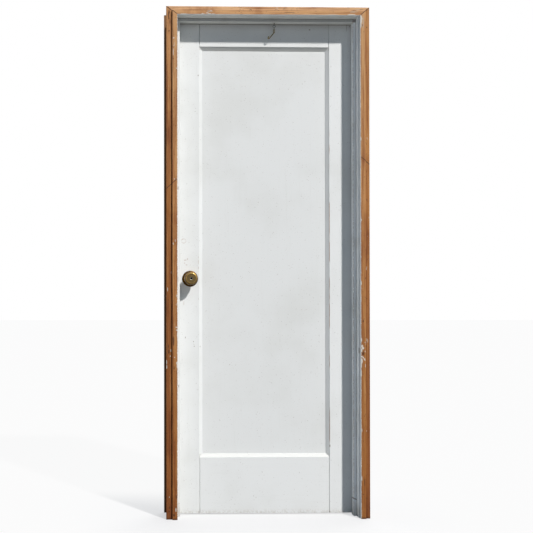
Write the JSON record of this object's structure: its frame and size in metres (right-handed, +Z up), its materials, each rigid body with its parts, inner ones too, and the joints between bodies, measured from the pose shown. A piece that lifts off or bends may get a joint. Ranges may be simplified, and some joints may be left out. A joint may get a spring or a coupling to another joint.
{
  "type": "interior door with frame",
  "caption": "Painted one-panel interior door hung in its own cased wooden frame, with butt hinges, turning round knobs and a small hanging hook.",
  "frame": {"origin": "outer face of the hinge jamb, level with the feet and midway through the jamb's depth", "axes": "+Z up, +X from the leaf towards the hinge side, +Y to the side that the leaf opens to"},
  "size_m": [0.81, 0.186, 2.025],
  "materials": {
    "leaf_paint": "satin white paint on wood",
    "jamb_paint": "brushed white paint on wood",
    "bare_wood": "bare reddish softwood with paint flecks",
    "hinge_steel": "brass-plated steel, dulled",
    "brass_plate": "satin",
    "plated_steel": "plated",
    "knob_brass": "tarnished, polished at the edges",
    "hook_brass": "aged"
  },
  "bodies": {
    "frame": {"hinge_jamb": "jamb_paint", "latch_jamb": "jamb_paint", "head_jamb": "jamb_paint", "hinge_stop": "jamb_paint", "hinge_stop_patch": "jamb_paint", "latch_stop": "jamb_paint", "head_stop": "jamb_paint", "hinge_front_casing": "bare_wood", "latch_front_casing": "bare_wood", "head_front_casing": "bare_wood", "hinge_rear_casing": "bare_wood", "latch_rear_casing": "bare_wood", "head_rear_casing": "bare_wood", "strike_plate": "brass_plate", "top_hinge_jamb_plate": "hinge_steel", "middle_hinge_jamb_plate": "hinge_steel", "bottom_hinge_jamb_plate": "hinge_steel", "top_hinge_pin": "hinge_steel", "middle_hinge_pin": "hinge_steel", "bottom_hinge_pin": "hinge_steel", "hook_eye": "hook_brass"},
    "leaf": {"hinge_stile": "leaf_paint", "latch_stile": "leaf_paint", "top_rail": "leaf_paint", "bottom_rail": "leaf_paint", "panel": "leaf_paint", "top_hinge_door_plate": "hinge_steel", "middle_hinge_door_plate": "hinge_steel", "bottom_hinge_door_plate": "hinge_steel", "latch_bolt": "brass_plate", "latch_faceplate": "brass_plate", "latch_tube": "plated_steel", "front_rose": "knob_brass", "rear_rose": "knob_brass"},
    "knob": {"front_knob": "knob_brass", "rear_knob": "knob_brass", "knob_spindle": "plated_steel"},
    "hook": {"cabin_hook": "hook_brass"}
  },
  "joints": [
    {"name": "leaf_swing", "type": "hinge", "parent": "frame", "child": "leaf", "pos_m": [-0.0215, 0.0575, 0.9955], "axis": [0, 0, -1], "range_deg": [0, 110]},
    {"name": "knob_turn", "type": "hinge", "parent": "leaf", "child": "knob", "pos_m": [-0.684, 0.033, 0.949], "axis": [0, 1, 0], "range_deg": [-50, 50], "stiffness_Nm_per_rad": 0.3},
    {"name": "hook_swing", "type": "hinge", "parent": "frame", "child": "hook", "pos_m": [-0.346, -0.0035, 1.9673], "axis": [0, 1, 0], "range_deg": [-60, 60]}
  ]
}
